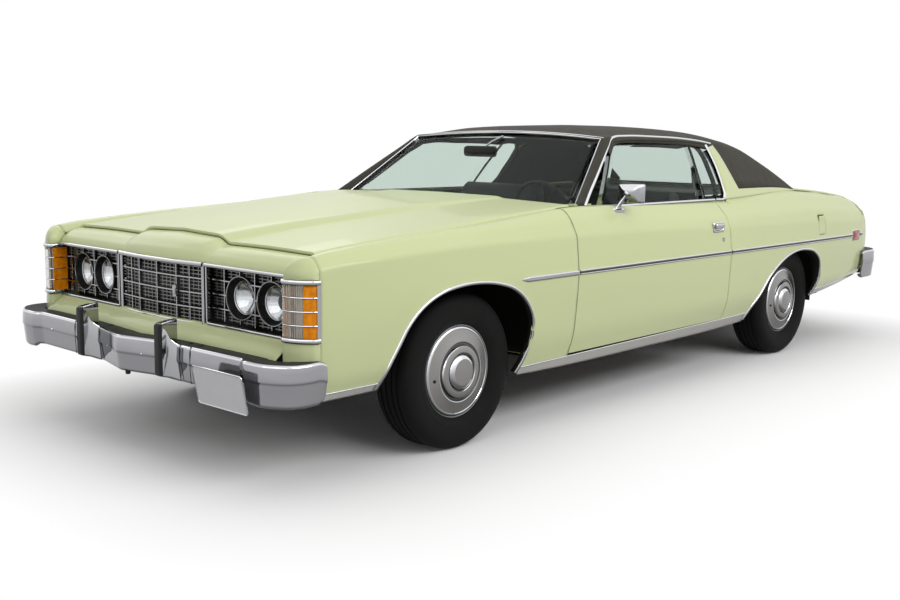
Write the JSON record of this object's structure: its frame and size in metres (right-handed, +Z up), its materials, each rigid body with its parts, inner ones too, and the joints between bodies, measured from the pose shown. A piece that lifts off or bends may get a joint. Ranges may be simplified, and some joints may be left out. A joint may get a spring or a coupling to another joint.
{
  "type": "full-size two-door hardtop car",
  "caption": "Full-size two-door hardtop coupe with vinyl-covered roof, quad headlamps, opening doors, hood, trunk lid and fuel door, steered front wheels and free-rolling wheels",
  "frame": {"origin": "on the floor, under the middle of the car's length and width", "axes": "+X is the car's left, +Y runs from nose to tail, +Z is up"},
  "size_m": [2.046, 5.59, 1.4049],
  "materials": {
    "paint": "pale yellow-green gloss enamel",
    "vinyl_top": "dark olive-brown grained vinyl",
    "chrome": "bright plated",
    "glass": "green-tinted safety glass",
    "lamp_glass": "fluted clear glass over a bright reflector",
    "amber_lens": "clear and amber moulded lens",
    "red_lens": "red moulded lens",
    "grille_metal": "silver bars on black",
    "plate_metal": "blank grey sheet",
    "tyre": "black ribbed rubber",
    "wheel_metal": "silver disc with bright trim ring and hub cap",
    "chassis": "black chassis paint",
    "underbody": "dark sealed floor",
    "iron": "painted casting",
    "seat_vinyl": "dark green pleated vinyl",
    "dash_plastic": "dark green padded plastic"
  },
  "bodies": {
    "root": {"frame": "chassis", "floor_pan": "underbody", "cowl": "paint", "quarter_left": "paint", "quarter_right": "paint", "roof": "vinyl_top", "rear_deck": "paint", "tail_panel": "paint", "fender_left": "paint", "fender_right": "paint", "header_panel": "paint", "front_valance": "paint", "engine_block": "iron", "windshield": "glass", "backlight": "glass", "quarter_glass": "glass", "grilles": "grille_metal", "headlamps": "lamp_glass", "turn_lamps": "amber_lens", "tail_lamps": "red_lens", "front_bumper": "chrome", "rear_bumper": "chrome", "plates": "plate_metal", "front_seats": "seat_vinyl", "rear_seat": "seat_vinyl", "dashboard": "dash_plastic", "steering_column": "dash_plastic", "control_arms": "chassis", "rear_axle": "chassis", "fuel_tank": "chassis", "exhaust": "chassis"},
    "hood": {"hood": "paint"},
    "trunk_lid": {"trunk_lid": "paint"},
    "fuel_door": {"fuel_door": "paint"},
    "door_left": {"door_left": "paint", "door_glass_left": "glass", "door_hardware_left": "chrome"},
    "door_right": {"door_right": "paint", "door_glass_right": "glass", "door_hardware_right": "chrome"},
    "steering_wheel": {"steering_wheel": "dash_plastic"},
    "knuckle_left": {"knuckle_left": "chassis"},
    "knuckle_right": {"knuckle_right": "chassis"},
    "running_front_left": {"wheel_front_left": "wheel_metal", "tyre_front_left": "tyre"},
    "running_front_right": {"wheel_front_right": "wheel_metal", "tyre_front_right": "tyre"},
    "running_rear_left": {"wheel_rear_left": "wheel_metal", "tyre_rear_left": "tyre"},
    "running_rear_right": {"wheel_rear_right": "wheel_metal", "tyre_rear_right": "tyre"}
  },
  "joints": [
    {"name": "hood_hinge", "type": "hinge", "parent": "root", "child": "hood", "pos_m": [0, -0.849, 0.995], "axis": [-1, 0, 0], "range_deg": [0, 50]},
    {"name": "trunk_hinge", "type": "hinge", "parent": "root", "child": "trunk_lid", "pos_m": [0, 1.745, 1.0085], "axis": [1, 0, 0], "range_deg": [0, 70]},
    {"name": "fuel_door_hinge", "type": "hinge", "parent": "root", "child": "fuel_door", "pos_m": [0.9906, 1.717, 0.737], "axis": [0.1885, 0, -0.9821], "range_deg": [0, 100]},
    {"name": "door_left_hinge", "type": "hinge", "parent": "root", "child": "door_left", "pos_m": [0.99, -0.897, 0.65], "axis": [0, 0, -1], "range_deg": [0, 62]},
    {"name": "door_right_hinge", "type": "hinge", "parent": "root", "child": "door_right", "pos_m": [-0.99, -0.897, 0.65], "axis": [0, 0, 1], "range_deg": [0, 62]},
    {"name": "steer_left", "type": "hinge", "parent": "root", "child": "knuckle_left", "pos_m": [0.7, -1.685, 0.343], "axis": [0, 0, 1], "range_deg": [-33, 33]},
    {"name": "steer_right", "type": "hinge", "parent": "root", "child": "knuckle_right", "pos_m": [-0.7, -1.685, 0.343], "axis": [0, 0, 1], "range_deg": [-33, 33]},
    {"name": "steering_wheel_turn", "type": "hinge", "parent": "root", "child": "steering_wheel", "pos_m": [0.34, -0.355, 0.925], "axis": [0, 0.9063, 0.4226], "range_deg": [-660, 660]},
    {"name": "roll_front_left", "type": "hinge", "parent": "knuckle_left", "child": "running_front_left", "pos_m": [0.815, -1.685, 0.343], "axis": [1, 0, 0], "continuous": true},
    {"name": "roll_front_right", "type": "hinge", "parent": "knuckle_right", "child": "running_front_right", "pos_m": [-0.815, -1.685, 0.343], "axis": [1, 0, 0], "continuous": true},
    {"name": "roll_rear_left", "type": "hinge", "parent": "root", "child": "running_rear_left", "pos_m": [0.815, 1.388, 0.343], "axis": [1, 0, 0], "continuous": true},
    {"name": "roll_rear_right", "type": "hinge", "parent": "root", "child": "running_rear_right", "pos_m": [-0.815, 1.388, 0.343], "axis": [1, 0, 0], "continuous": true}
  ],
  "couplings": [
    {"joint": "steer_right", "follows": "steer_left", "ratio": 1},
    {"joint": "steering_wheel_turn", "follows": "steer_left", "ratio": 20}
  ]
}
